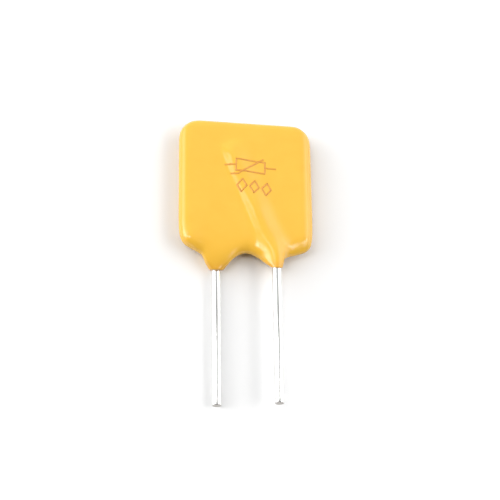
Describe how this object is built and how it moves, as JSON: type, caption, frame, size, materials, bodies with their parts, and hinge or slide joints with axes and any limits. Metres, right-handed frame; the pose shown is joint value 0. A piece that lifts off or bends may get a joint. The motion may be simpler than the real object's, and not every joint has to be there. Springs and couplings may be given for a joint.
{
  "type": "resettable fuse",
  "caption": "Flat square polymer resettable fuse dipped in yellow epoxy, with wires that cross its faces and run out as straight leads for through-hole mounting.",
  "frame": {"origin": "centre of the bounding box in X and Y, on the surface that the fuse lies on", "axes": "+Y from the lead tips to the top edge of the body, +Z out of the front face, X across the two leads"},
  "size_m": [0.0118, 0.0262, 0.0025],
  "materials": {
    "epoxy": "semi-gloss dipped epoxy",
    "tinned_wire": "bright tinned wire",
    "solder": "dull solder",
    "nickel_foil": "matte nickel foil",
    "polymer": "matte carbon-filled polymer"
  },
  "bodies": {
    "root": {"ptc_element": "polymer", "front_electrode": "nickel_foil", "back_electrode": "nickel_foil", "front_lead": "tinned_wire", "back_lead": "tinned_wire", "front_solder": "solder", "back_solder": "solder", "epoxy_coating": "epoxy"}
  },
  "joints": []
}
